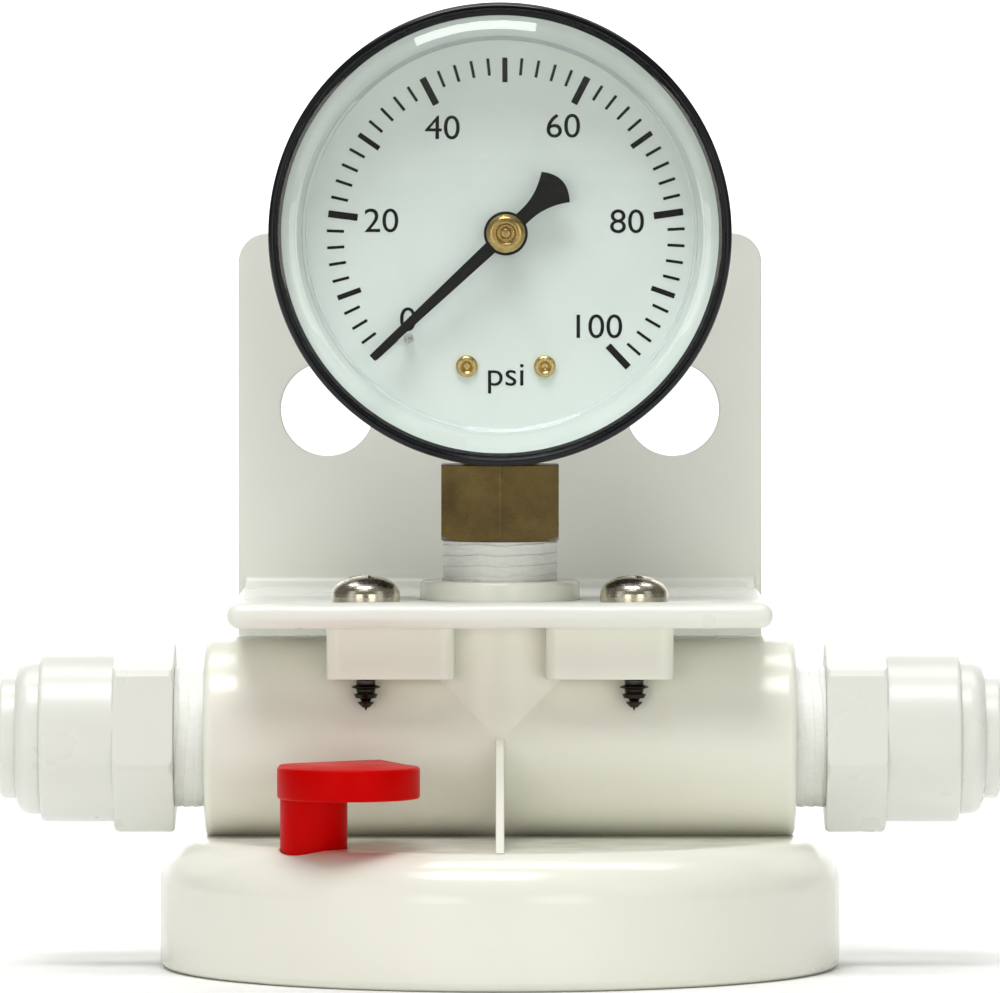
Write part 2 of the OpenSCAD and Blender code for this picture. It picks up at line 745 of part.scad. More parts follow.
module pointer_hub() {
    color([0.75, 0.58, 0.25]) translate([dial_x, 0, arbor_z]) face_front(-8.6) round_post(2.35, 1, 0.3);
}

// ---------------------------------------------------------------- tube fittings
// Drawn along local +Z for the right-hand port; side = 1 mirrors them to the left

hexagon_x = 39.4;
barrel_x = 46.7;
barrel_end = 55.6;
nose_end = 58.6;
collet_end = 60.5;
tube_stop = 42;
seal_x = 48;
chamber_x = 50.55;
collet_r = 7.5;
sleeve_out = 6.25;
grip_r = 6.9;
chamber_r = 7.4;

module fitting(side) {
    mirror([side, 0, 0]) along_run() children();
}

module fitting_body(side) {
    point_r = fitting_flats / 2 / cos(30);
    start = tee_half - thread_depth + small;
    color([0.96, 0.96, 0.96]) fitting(side) difference() {
        union() {
            translate([0, 0, start]) cylinder(r = thread_r - 0.35, h = barrel_x - start);
            translate([0, 0, hexagon_x]) intersection() {
                rotate(46.4) cylinder(r = point_r, h = barrel_x - hexagon_x, $fn = 6);
                round_post(point_r - 0.25, barrel_x - hexagon_x, 0.6);
            }
            translate([0, 0, barrel_x - cut]) round_post(barrel_r, barrel_end - barrel_x + cut, 0.5);
        }
        translate([0, 0, start - cut]) cylinder(r = 3.6, h = tube_stop - start + 2 * cut);
        translate([0, 0, tube_stop]) cylinder(r = tube_bore_r, h = seal_x - tube_stop + cut);
        translate([0, 0, seal_x]) cylinder(r = 6.65, h = chamber_x - seal_x + cut);
        translate([0, 0, chamber_x]) cylinder(r = chamber_r, h = barrel_end - chamber_x + cut);
    }
}

module thread_tape(side) {
    color([0.96, 0.97, 0.97]) fitting(side) translate([0, 0, tee_half + small])
        ring(thread_r, thread_r - 0.3, hexagon_x - tee_half - 2 * small);
}

module retaining_cap(side) {
    color([0.96, 0.96, 0.96]) fitting(side) difference() {
        union() {
            translate([0, 0, barrel_end - 2.1]) cylinder(r = chamber_r - small, h = 3);
            translate([0, 0, barrel_end]) intersection() {
                cylinder(r = 9.4, h = nose_end - barrel_end);
                translate([0, 0, -4]) round_post(9.4, nose_end - barrel_end + 4, 1.8);
            }
        }
        translate([0, 0, barrel_end - 4]) cylinder(r = sleeve_out + run_gap, h = 8);
        translate([0, 0, nose_end - 2.1]) cylinder(r = collet_r + run_gap, h = 4);
    }
}

module collet(side) {
    head = nose_end - 0.75;
    color([0.93, 0.93, 0.93]) fitting(side) difference() {
        union() {
            translate([0, 0, head]) round_post(collet_r, collet_end - head, 0.4);
            translate([0, 0, 52.2]) cylinder(r = sleeve_out, h = head - 52);
            translate([0, 0, 52.2]) cylinder(r1 = sleeve_out, r2 = grip_r, h = 0.6);
            translate([0, 0, 52.8]) cylinder(r = grip_r, h = 0.6);
        }
        translate([0, 0, 50]) cylinder(r = tube_bore_r + 0.1, h = 14);
        for (a = [0, 60, 120])
            rotate(a) translate([-10, -0.3, 52]) cube([20, 0.6, 3]);
    }
}

module grab_ring(side) {
    color([0.7, 0.72, 0.74]) fitting(side) translate([0, 0, chamber_x + small]) difference() {
        ring(chamber_r - small, tube_bore_r + 0.1, 0.2);
        for (a = [0:30:330]) rotate(a) translate([0, -0.25, -cut]) cube([6.3, 0.5, 3]);
    }
}

module tube_seal(side) {
    color([0.1, 0.1, 0.1]) fitting(side) translate([0, 0, (seal_x + chamber_x) / 2]) o_ring(5.76, 0.86);
}

module left_fitting_body() { fitting_body(1); }
module left_thread_tape() { thread_tape(1); }
module left_retaining_cap() { retaining_cap(1); }
module left_collet() { collet(1); }
module left_grab_ring() { grab_ring(1); }
module left_tube_seal() { tube_seal(1); }
module right_fitting_body() { fitting_body(0); }
module right_thread_tape() { thread_tape(0); }
module right_retaining_cap() { retaining_cap(0); }
module right_collet() { collet(0); }
module right_grab_ring() { grab_ring(0); }
module right_tube_seal() { tube_seal(0); }

cap();
bayonet_ring();
socket_gasket();
outlet_spigot();
spigot_seals();
manifold_body();
wall_bracket();
bracket_screws();
valve_lever();
valve_spindle();
spindle_seals();
spindle_snap_ring();
gauge_socket();
gauge_thread_tape();
gauge_case();
case_plug();
case_screws();
gauge_lens();
gauge_dial();
dial_screws();
stop_pin();
bourdon_tube();
tube_tip();
tip_link();
movement_back_plate();
movement_front_plate();
movement_pillars();
sector_gear();
pointer_arbor();
hairspring();
pointer();
pointer_hub();
left_fitting_body();
left_thread_tape();
left_retaining_cap();
left_collet();
left_grab_ring();
left_tube_seal();
right_fitting_body();
right_thread_tape();
right_retaining_cap();
right_collet();
right_grab_ring();
right_tube_seal();
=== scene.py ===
"""Looks of the water filter head: finishes, dial, lens, tape, softened edges, light and camera."""
import json
import math

import bmesh
import bpy
from mathutils import Matrix, Vector, noise


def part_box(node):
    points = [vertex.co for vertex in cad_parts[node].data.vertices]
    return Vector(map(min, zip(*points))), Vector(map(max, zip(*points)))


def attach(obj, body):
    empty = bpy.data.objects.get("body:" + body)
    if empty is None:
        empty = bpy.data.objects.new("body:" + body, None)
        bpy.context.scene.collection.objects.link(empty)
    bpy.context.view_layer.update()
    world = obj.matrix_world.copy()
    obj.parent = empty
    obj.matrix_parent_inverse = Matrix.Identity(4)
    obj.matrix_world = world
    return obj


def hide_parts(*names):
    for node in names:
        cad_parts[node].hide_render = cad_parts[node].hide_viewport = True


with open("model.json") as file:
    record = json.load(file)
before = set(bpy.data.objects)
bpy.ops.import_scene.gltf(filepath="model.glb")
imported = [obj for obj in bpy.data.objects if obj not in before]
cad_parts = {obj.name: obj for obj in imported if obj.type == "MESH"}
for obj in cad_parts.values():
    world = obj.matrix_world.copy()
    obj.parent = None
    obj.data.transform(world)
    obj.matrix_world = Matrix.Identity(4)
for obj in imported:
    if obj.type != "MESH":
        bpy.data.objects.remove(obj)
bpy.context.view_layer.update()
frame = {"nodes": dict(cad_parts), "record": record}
NODES = frame["nodes"]

MM = 0.001
TO_FRONT = Matrix.Rotation(math.radians(90), 4, "X")
TO_RIGHT = Matrix.Rotation(math.radians(90), 4, "Y")

# ------------------------------------------------------------------ camera and studio

CAMERA_AT = Vector((0.0, -1.151, 0.0904))
AIMED_AT = Vector((0.0, 0.0, 0.0570))
LENS = 341.8
SENSOR = 36.0


def make_camera():
    """The studio camera: level with the gauge, looking slightly down."""
    data = bpy.data.cameras.new("studio_camera")
    data.lens = LENS
    data.sensor_width = SENSOR
    data.clip_start = 0.05
    data.clip_end = 20.0
    camera = bpy.data.objects.new("studio_camera", data)
    camera.location = CAMERA_AT
    camera.rotation_euler = (AIMED_AT - CAMERA_AT).to_track_quat("-Z", "Y").to_euler()
    bpy.context.scene.collection.objects.link(camera)
    bpy.context.scene.camera = camera


def make_softbox(name, place, size, power, colour=(1.0, 1.0, 1.0), aim=(0.0, 0.0, 0.05)):
    """A rectangular soft light, turned to face its aim."""
    data = bpy.data.lights.new(name, "AREA")
    data.shape = "RECTANGLE"
    data.size, data.size_y = size
    data.energy = power
    data.color = colour
    lamp = bpy.data.objects.new(name, data)
    lamp.location = place
    lamp.rotation_euler = (Vector(aim) - lamp.location).to_track_quat("-Z", "Y").to_euler()
    bpy.context.scene.collection.objects.link(lamp)


def make_sweep(paper):
    """A paper sweep: flat under the object, then curving up behind it."""
    front, back, half, bend, height = -3.2, 3.2, 3.4, 0.8, 2.6
    bend_steps = 16
    line = [(front, 0.0), (back - bend, 0.0)]
    for k in range(1, bend_steps + 1):
        a = math.radians(90 * k / bend_steps)
        line.append((back - bend + bend * math.sin(a), bend - bend * math.cos(a)))
    line.append((back, height))
    bm = bmesh.new()
    row = [bm.verts.new((-half, y, z)) for y, z in line]
    edges = [bm.edges.new(pair) for pair in zip(row, row[1:])]
    side = bmesh.ops.extrude_edge_only(bm, edges=edges)
    moved = [v for v in side["geom"] if isinstance(v, bmesh.types.BMVert)]
    bmesh.ops.translate(bm, verts=moved, vec=(2 * half, 0, 0))
    bmesh.ops.recalc_face_normals(bm, faces=bm.faces)
    floor = to_object("paper_sweep", bm, scale=1.0)
    floor.data.materials.append(paper)


# ------------------------------------------------------------------ node helpers


class Finish:
    """A material under construction: one Principled shader and the nodes that feed it."""

    def __init__(self, name):
        self.material = bpy.data.materials.new(name)
        self.material.use_nodes = True
        self.tree = self.material.node_tree
        self.shader = self.tree.nodes["Principled BSDF"]
        self.out = self.tree.nodes["Material Output"]
        self.place = self.add("ShaderNodeTexCoord").outputs["Object"]

    def add(self, kind, **values):
        node = self.tree.nodes.new(kind)
        for key, value in values.items():
            setattr(node, key, value)
        return node

    def link(self, source, target):
        self.tree.links.new(source, target)

    def stretched(self, factors):
        node = self.add("ShaderNodeMapping")
        node.inputs["Scale"].default_value = factors
        self.link(self.place, node.inputs["Vector"])
        return node.outputs["Vector"]

    def noise(self, grain, detail=3.0, rough=0.55, where=None):
        """Noise whose lumps are about grain metres across."""
        node = self.add("ShaderNodeTexNoise")
        node.inputs["Scale"].default_value = 1.0 / grain
        node.inputs["Detail"].default_value = detail
        node.inputs["Roughness"].default_value = rough
        self.link(where or self.place, node.inputs["Vector"])
        return node.outputs["Fac"]

    def spread(self, value, low, high, start=0.3, end=0.7):
        node = self.add("ShaderNodeMapRange")
        node.inputs["From Min"].default_value = start
        node.inputs["From Max"].default_value = end
        node.inputs["To Min"].default_value = low
        node.inputs["To Max"].default_value = high
        self.link(value, node.inputs["Value"])
        return node.outputs["Result"]

    def between(self, value, first, second):
        node = self.add("ShaderNodeMix", data_type="RGBA")
        if isinstance(first, tuple):
            node.inputs["A"].default_value = (*first, 1.0)
        else:
            self.link(first, node.inputs["A"])
        node.inputs["B"].default_value = (*second, 1.0)
        self.link(value, node.inputs["Factor"])
        return node.outputs["Result"]

    def colour(self, value, first, second):
        self.link(self.between(value, first, second), self.shader.inputs["Base Color"])

    def roughness(self, value, low, high):
        self.link(self.spread(value, low, high), self.shader.inputs["Roughness"])

    def bump(self, height, depth, edge=0.0, after=None):
        """Bump of that depth in metres, over edges rounded in shading by edge metres."""
        node = self.add("ShaderNodeBump")
        node.inputs["Strength"].default_value = 1.0
        node.inputs["Distance"].default_value = depth
        self.link(height, node.inputs["Height"])
        if edge:
            soft = self.add("ShaderNodeBevel", samples=6)
            soft.inputs["Radius"].default_value = edge
            self.link(soft.outputs["Normal"], node.inputs["Normal"])
        if after:
            self.link(after, node.inputs["Normal"])
        self.link(node.outputs["Normal"], self.shader.inputs["Normal"])
        return node.outputs["Normal"]

    def set(self, **values):
        for key, value in values.items():
            self.shader.inputs[key.replace("_", " ")].default_value = value
        return self


# ------------------------------------------------------------------ finishes


def moulded_plastic(name, colour, shade, gloss=(0.22, 0.34), shine=0.5):
    """Injection-moulded plastic: faint flow clouds, a fine satin grain, soft edges."""
    edge, ripple = 0.3 * MM, 0.0012 * MM
    f = Finish(name)
    f.colour(f.spread(f.noise(14 * MM, 2), 0, 1), colour, shade)
    f.roughness(f.noise(6 * MM, 2), *gloss)
    swell = f.bump(f.noise(12 * MM, 1), ripple * 4, edge)
    f.bump(f.noise(0.35 * MM, 4), ripple, after=swell)
    f.set(Subsurface_Weight=0.12, Subsurface_Radius=(0.8 * MM, 0.7 * MM, 0.5 * MM), Subsurface_Scale=1.0)
    f.set(Specular_IOR_Level=shine)
    return f.material


def powder_coat(name):
    """White powder coat on sheet steel: faint orange peel and thick soft edges."""
    f = Finish(name)
    f.colour(f.spread(f.noise(22 * MM, 2), 0, 1), (0.83, 0.85, 0.79), (0.84, 0.857, 0.80))
    f.roughness(f.noise(9 * MM, 2), 0.27, 0.33)
    f.bump(f.noise(1.7 * MM, 1, 0.4), 0.022 * MM, 0.5 * MM)
    return f.material


def brass(name, first=(0.20, 0.145, 0.055), second=(0.11, 0.078, 0.032), rough=(0.24, 0.4),
          lay=(1, 1, 18)):
    """Bar brass with cutter marks along one way and cloudy tarnish."""
    f = Finish(name)
    f.set(Metallic=1.0)
    tarnish = f.noise(7 * MM, 4, 0.6)
    f.colour(f.spread(tarnish, 0, 1, 0.35, 0.68), first, second)
    f.roughness(f.noise(1.2 * MM, 5), *rough)
    marks = f.noise(2.2 * MM, 4, 0.7, f.stretched(lay))
    f.bump(marks, 0.012 * MM, 0.15 * MM)
    return f.material


def bright_steel(name, colour, rough):
    """Plated or polished steel with fine scratches and a little staining."""
    f = Finish(name)
    f.set(Metallic=1.0)
    darker = tuple(0.55 * c for c in colour)
    f.colour(f.spread(f.noise(1.6 * MM, 6, 0.7), 0, 1, 0.45, 0.8), colour, darker)
    f.roughness(f.noise(0.9 * MM, 5), *rough)
    f.bump(f.noise(0.5 * MM, 5, 0.7, f.stretched((1, 6, 1))), 0.006 * MM, 0.12 * MM)
    return f.material


def screw_steel(name, bright, dull, painted_shade_top):
    """Plated screw steel, bright at the head, with painted shade making the screw points near-black below
    a given height.
    """
    f = Finish(name)
    f.set(Metallic=1.0)
    height = f.add("ShaderNodeSeparateXYZ")
    f.link(f.place, height.inputs["Vector"])
    stained = tuple(0.6 * c for c in bright)
    stain = f.between(f.spread(f.noise(1.6 * MM, 6, 0.7), 0, 1, 0.45, 0.8), bright, stained)
    # Painted shade: below the given height the colour fades to near-black, standing in for the shadow
    # around the screw points.
    under = f.spread(height.outputs["Z"], 1, 0, painted_shade_top - 2 * MM, painted_shade_top)
    f.link(f.between(under, stain, dull), f.shader.inputs["Base Color"])
    f.roughness(f.noise(0.9 * MM, 5), 0.16, 0.3)
    f.bump(f.noise(0.5 * MM, 5, 0.7), 0.006 * MM, 0.12 * MM)
    return f.material


def black_enamel(name):
    """Baked black enamel, glossy, with dust-fine specks."""
    f = Finish(name)
    specks = f.spread(f.noise(0.6 * MM, 6, 0.8), 0, 1, 0.66, 0.8)
    f.colour(specks, (0.006, 0.007, 0.009), (0.03, 0.03, 0.034))
    f.roughness(f.noise(2 * MM, 4), 0.08, 0.16)
    f.bump(f.noise(1.8 * MM, 2), 0.015 * MM, 0.2 * MM)
    f.set(Specular_IOR_Level=0.3)
    return f.material


def grey_primer(name):
    """Pale grey primer inside the case, seen through the lens's flange."""
    f = Finish(name)
    f.colour(f.spread(f.noise(5 * MM, 4), 0, 1), (0.60, 0.65, 0.65), (0.68, 0.72, 0.71))
    f.roughness(f.noise(2 * MM, 4), 0.25, 0.4)
    f.bump(f.noise(0.7 * MM, 3), 0.01 * MM)
    return f.material


def rubber(name):
    """Black seal rubber, matt and faintly grained."""
    f = Finish(name)
    f.colour(f.spread(f.noise(0.8 * MM, 5), 0, 1), (0.012, 0.012, 0.013), (0.03, 0.03, 0.03))
    f.roughness(f.noise(0.6 * MM, 4), 0.55, 0.75)
    f.bump(f.noise(0.25 * MM, 3), 0.02 * MM)
    return f.material


def dial_paint(name):
    """Matt white lacquer of the dial plate, faintly cool, with print-fine texture."""
    f = Finish(name)
    f.colour(f.spread(f.noise(9 * MM, 4), 0, 1), (0.66, 0.725, 0.70), (0.71, 0.765, 0.745))
    f.roughness(f.noise(0.8 * MM, 4), 0.38, 0.5)
    f.bump(f.noise(0.18 * MM, 4), 0.006 * MM)
    return f.material


def dial_ink(name):
    """Black printing ink, a little thin in places."""
    f = Finish(name)
    thin = f.spread(f.noise(0.25 * MM, 4, 0.7), 0, 1, 0.55, 0.8)
    f.colour(thin, (0.003, 0.003, 0.004), (0.012, 0.012, 0.013))
    f.roughness(f.noise(0.3 * MM, 3), 0.6, 0.75)
    f.set(Specular_IOR_Level=0.12)
    return f.material


def needle_paint(name):
    """Matt black paint of the pointer."""
    f = Finish(name)
    thin = f.spread(f.noise(0.4 * MM, 5, 0.7), 0, 1, 0.6, 0.8)
    f.colour(thin, (0.003, 0.003, 0.003), (0.012, 0.012, 0.012))
    f.roughness(f.noise(0.5 * MM, 4), 0.5, 0.7)
    f.set(Specular_IOR_Level=0.15)
    f.bump(f.noise(0.12 * MM, 3), 0.004 * MM, 0.1 * MM)
    return f.material


def sealing_film(name):
    """Wrapped thread-sealing tape: waxy white film with drawn-out fibres round the thread."""
    f = Finish(name)
    fibres = f.noise(1.1 * MM, 5, 0.7, f.stretched((1, 1, 3)))
    f.colour(f.spread(fibres, 0, 1), (0.86, 0.89, 0.86), (0.93, 0.94, 0.91))
    f.roughness(f.noise(0.7 * MM, 4), 0.28, 0.5)
    folds = f.bump(f.noise(0.9 * MM, 4, 0.6, f.stretched((1, 1, 4))), 0.04 * MM)
    f.bump(f.noise(0.16 * MM, 5, 0.7, f.stretched((1, 1, 3))), 0.02 * MM, after=folds)
    f.set(Subsurface_Weight=0.25, Subsurface_Radius=(0.6 * MM, 0.6 * MM, 0.6 * MM), Subsurface_Scale=1.0)
    return f.material


def clear_plastic(name):
    """Clear moulded lens: light passes it without a shadow, and faint scuffs dull its gloss."""
    f = Finish(name)
    f.set(Transmission_Weight=1.0, IOR=1.49, Base_Color=(0.97, 0.985, 0.98, 1.0))
    f.roughness(f.noise(7 * MM, 5), 0.0, 0.03)
    ray = f.add("ShaderNodeLightPath")
    through = f.add("ShaderNodeBsdfTransparent")
    through.inputs["Color"].default_value = (0.95, 0.97, 0.965, 1.0)
    both = f.add("ShaderNodeMixShader")
    f.link(ray.outputs["Is Shadow Ray"], both.inputs["Fac"])
    f.link(f.shader.outputs["BSDF"], both.inputs[1])
    f.link(through.outputs["BSDF"], both.inputs[2])
    f.link(both.outputs["Shader"], f.out.inputs["Surface"])
    return f.material


def sweep_paper(name):
    """Matt white background paper."""
    f = Finish(name)
    f.colour(f.spread(f.noise(0.4, 3), 0, 1), (0.90, 0.90, 0.895), (0.915, 0.915, 0.91))
    f.roughness(f.noise(0.01, 3), 0.7, 0.85)
    return f.material


# ------------------------------------------------------------------ mesh helpers


def to_object(name, bm, scale=MM, sharp=35.0):
    """Turns a bmesh drawn in millimetres into an object at the origin, in metres."""
    bmesh.ops.scale(bm, verts=bm.verts, vec=(scale, scale, scale))
    mesh = bpy.data.meshes.new(name)
    bm.to_mesh(mesh)
    bm.free()
    mesh.shade_smooth()
    mesh.set_sharp_from_angle(angle=math.radians(sharp))
    obj = bpy.data.objects.new(name, mesh)
    bpy.context.scene.collection.objects.link(obj)
    return obj


def fit_out(obj, body, slot, material, *stands_for):
    """Gives a finished piece its material and its body, and hides the CAD nodes it stands for; slot is not
    used.
    """
    obj.data.materials.append(material)
    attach(obj, body)
    if stands_for:
        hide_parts(*stands_for)
    return obj


def rounded_line(points, steps=6):
    """A line through (radius, height, rounding) points with each corner turned into an arc."""
    line = []
    count = len(points)
    for i, (x, y, r) in enumerate(points):
        here = Vector((x, y))
        if r <= 0 or i in (0, count - 1):
            line.append((x, y))
            continue
        before = (Vector(points[i - 1][:2]) - here).normalized()
        after = (Vector(points[i + 1][:2]) - here).normalized()
        half = before.angle(after) / 2
        reach = r / math.tan(half)
        centre = here + (before + after).normalized() * (r / math.sin(half))
        first = here + before * reach - centre
        turn = (here + after * reach - centre).angle_signed(first)
        for k in range(steps + 1):
            p = centre + Matrix.Rotation(turn * k / steps, 2) @ first
            line.append((p.x, p.y))
    return line


def turned_mesh(line, steps=128):
    """A closed outline of (radius, height) points turned about the upright axis."""
    bm = bmesh.new()
    verts = [bm.verts.new((r, 0, z)) for r, z in line]
    edges = [bm.edges.new(pair) for pair in zip(verts, verts[1:])]
    if line[0][0] > 0 or line[-1][0] > 0:
        edges.append(bm.edges.new((verts[-1], verts[0])))
    bmesh.ops.spin(bm, geom=verts + edges, cent=(0, 0, 0), axis=(0, 0, 1), angle=2 * math.pi,
                   steps=steps, use_merge=True)
    bmesh.ops.remove_doubles(bm, verts=bm.verts, dist=0.001)
    bmesh.ops.recalc_face_normals(bm, faces=bm.faces)
    return bm


def placed(bm, turn, at):
    """Turns a mesh and moves it to its place."""
    bmesh.ops.transform(bm, matrix=Matrix.Translation(at) @ turn, verts=bm.verts)
    return bm


CREASE = 32.0
FLAT = 0.6


def softened(name, node, radius, segments=3):
    """A copy of a CAD node with its sharp edges rolled over, as a separate mesh."""
    bm = bmesh.new()
    bm.from_mesh(NODES[node].data)
    bmesh.ops.scale(bm, verts=bm.verts, vec=(1000, 1000, 1000))
    bmesh.ops.remove_doubles(bm, verts=bm.verts, dist=0.002)
    bmesh.ops.dissolve_limit(bm, angle_limit=math.radians(FLAT), verts=bm.verts, edges=bm.edges)
    edges = [e for e in bm.edges if e.is_manifold and e.calc_face_angle(0) > math.radians(CREASE)]
    bmesh.ops.bevel(bm, geom=edges, offset=radius, offset_type="OFFSET", segments=segments, profile=0.5,
                    affect="EDGES", clamp_overlap=True, material=-1)
    return to_object(name, bm, sharp=30.0)


# ------------------------------------------------------------------ dial


DIAL_LOW, DIAL_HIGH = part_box("gauge_dial")
DIAL_X = (DIAL_LOW.x + DIAL_HIGH.x) / 2 / MM
DIAL_Z = (DIAL_LOW.z + DIAL_HIGH.z) / 2 / MM
DIAL_FRONT = DIAL_LOW.y / MM
INK = 0.03
TICK_OUTER = 21.57
ZERO_ANGLE = 222.6
TWENTY_ANGLE = 172.6
DEGREES_PER_UNIT = 2.7425
TICKS = ((20, 18.0, 0.84), (10, 18.6, 0.62), (2, 19.5, 0.35))
NUMERALS = (("0", -11.8, -9.9), ("20", -15.0, 2.0), ("40", -7.6, 13.2), ("60", 6.9, 13.4),
            ("80", 14.6, 1.9), ("100", 10.9, -10.75), ("psi", 0.0, -16.5))
NUMERAL_SIZE = 4.1
NUMERAL_WIDTH = 1.06
NUMERAL_MIDDLE = 0.35


def scale_angle(pressure):
    """Direction of a pressure on the dial, in degrees counter-clockwise from the right."""
    if pressure == 0:
        return ZERO_ANGLE
    return TWENTY_ANGLE - DEGREES_PER_UNIT * (pressure - 20)


def make_dial_scale(ink):
    """The printed scale: a long bar each twenty, a shorter one each ten, a thin one each two."""
    bm = bmesh.new()
    for pressure in [0, *range(4, 102, 2)]:
        inner, width = next((r, w) for step, r, w in TICKS if pressure % step == 0)
        length = TICK_OUTER - inner
        form = Matrix.Diagonal((length, width, INK, 1.0))
        spot = Matrix.Translation((inner + length / 2, 0, INK / 2))
        turn = Matrix.Rotation(math.radians(scale_angle(pressure)), 4, "Z")
        bmesh.ops.create_cube(bm, size=1.0, matrix=turn @ spot @ form)
    placed(bm, TO_FRONT, (DIAL_X, DIAL_FRONT, DIAL_Z))
    fit_out(to_object("dial_scale_marks", bm), "head", "black_needle", ink)


def make_numerals(ink):
    """The printed numbers and the unit of the scale."""
    bm = bmesh.new()
    for words, x, z in NUMERALS:
        text = bpy.data.curves.new("numeral", "FONT")
        text.body = words
        text.size = NUMERAL_SIZE
        text.align_x = "CENTER"
        text.extrude = INK / 2
        holder = bpy.data.objects.new("numeral", text)
        bpy.context.scene.collection.objects.link(holder)
        drawn = holder.evaluated_get(bpy.context.evaluated_depsgraph_get())
        mesh = bpy.data.meshes.new_from_object(drawn)
        widened = Matrix.Diagonal((NUMERAL_WIDTH, 1, 1, 1))
        mesh.transform(Matrix.Translation((x, z - NUMERAL_SIZE * NUMERAL_MIDDLE, INK / 2)) @ widened)
        bm.from_mesh(mesh)
        bpy.data.objects.remove(holder)
        bpy.data.meshes.remove(mesh)
        bpy.data.curves.remove(text)
    bmesh.ops.remove_doubles(bm, verts=bm.verts, dist=0.0005)
    placed(bm, TO_FRONT, (DIAL_X, DIAL_FRONT, DIAL_Z))
    fit_out(to_object("dial_numerals", bm), "head", "black_needle", ink)


EYELET_R = 1.32


def make_eyelets(metal):
    """Two brass dial screws with rolled rims and dimpled heads."""
    low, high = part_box("dial_screws")
    z = (low.z + high.z) / 2 / MM
    both = bmesh.new()
    for x in (low.x / MM + EYELET_R, high.x / MM - EYELET_R):
        line = rounded_line([(0.0, 0.18, 0), (0.35, 0.2, 0.1), (0.62, 0.52, 0.2), (0.9, 0.74, 0.15),
                             (EYELET_R, 0.5, 0.3), (EYELET_R, 0.0, 0), (0.0, 0.0, 0)], 4)
        bm = placed(turned_mesh(line, 40), TO_FRONT, (x, DIAL_FRONT, z))
        mesh = bpy.data.meshes.new("eyelet")
        bm.to_mesh(mesh)
        bm.free()
        both.from_mesh(mesh)
        bpy.data.meshes.remove(mesh)
    fit_out(to_object("dial_eyelets", both), "head", "brass", metal, "dial_screws")


HUB_R = 2.33


def make_hub(metal):
    """Pressed brass hub: a raised rim, a groove and the riveted end of the arbor."""
    low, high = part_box("pointer_hub")
    x, z, base = (low.x + high.x) / 2 / MM, (low.z + high.z) / 2 / MM, high.y / MM
    line = rounded_line([(0.0, 0.86, 0), (0.5, 0.84, 0.12), (0.72, 0.5, 0.1), (1.05, 0.5, 0.12),
                         (1.25, 0.96, 0.18), (1.85, 0.92, 0.35), (HUB_R, 0.5, 0.2), (HUB_R, 0.0, 0),
                         (0.0, 0.0, 0)], 4)
    bm = placed(turned_mesh(line, 64), TO_FRONT, (x, base, z))
    fit_out(to_object("pressed_hub", bm), "pointer", "brass", metal, "pointer_hub")


# ------------------------------------------------------------------ gauge case and lens


CASE_LOW, CASE_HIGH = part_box("gauge_case")
CASE_R = (CASE_HIGH.x - CASE_LOW.x) / 2 / MM
CASE_Z = (CASE_LOW.z + CASE_HIGH.z) / 2 / MM
CASE_FRONT = -CASE_LOW.y / MM
LENS_R = 26.8
WINDOW_DEPTH = 0.95
RIM_DEPTH = 0.1
LENS_BACK = 2.1
WALL = 0.8
BEAD_OUT = 0.8
BEAD_LIP = 0.9
BEAD_LONG = 2.7
SEAT_DEPTH = 1.9
LEDGE_R = 24.2
LEDGE_BEHIND = 0.7


def make_lens(clear):
    """Lens with a flat window, a raised rim and a bevelled flange behind the bead."""
    window, rim, back = CASE_FRONT - WINDOW_DEPTH, CASE_FRONT - RIM_DEPTH, CASE_FRONT - LENS_BACK
    line = rounded_line([(0.0, window, 0), (23.3, window, 0.3), (23.7, rim, 0.25), (24.5, rim, 0.6),
                         (26.2, window - 0.2, 0.3), (LENS_R, window - 0.25, 0.1), (LENS_R, back, 0.2),
                         (0.0, back, 0)], 6)
    bm = placed(turned_mesh(line, 160), TO_FRONT, (0, 0, CASE_Z))
    fit_out(to_object("lens_window", bm), "head", "clear_lens", clear, "gauge_lens")


def make_case(enamel, primer):
    """Drawn case: a black rolled bead and shell, pale primer inside, a ledge under the dial's edge."""
    f, back, r = CASE_FRONT, -CASE_HIGH.y / MM, CASE_R
    shell = r - BEAD_OUT
    bore, lip = shell - WALL, r - BEAD_LIP
    ledge = -DIAL_FRONT - LEDGE_BEHIND
    line = rounded_line([(0.0, back, 0), (shell, back, 1.5), (shell, f - BEAD_LONG, 0.15),
                         (r, f - BEAD_LONG, 0.6), (r, f, 0.7), (lip, f, 0.3), (lip, f - SEAT_DEPTH, 0),
                         (bore, f - SEAT_DEPTH, 0), (bore, ledge, 0.4), (LEDGE_R, ledge, 0.1),
                         (LEDGE_R, ledge - WALL, 0), (bore, ledge - WALL, 0), (bore, back + WALL, 0.9),
                         (0.0, back + WALL, 0)], 8)
    bm = turned_mesh(line, 180)
    inside = [face for face in bm.faces
              if math.hypot(*face.calc_center_median()[:2]) < bore + 0.02
              and face.calc_center_median().z > back + 0.3]
    for face in inside:
        face.material_index = 1
    placed(bm, TO_FRONT, (0, 0, CASE_Z))
    obj = fit_out(to_object("drawn_case", bm), "head", "black_coated_steel", enamel, "gauge_case")
    obj.data.materials.append(primer)


# ------------------------------------------------------------------ coated edge


LIP_HALF = 32.6
LIP_END = 1.5
LIP_REACH = 0.4
LIP_OVER = 0.33


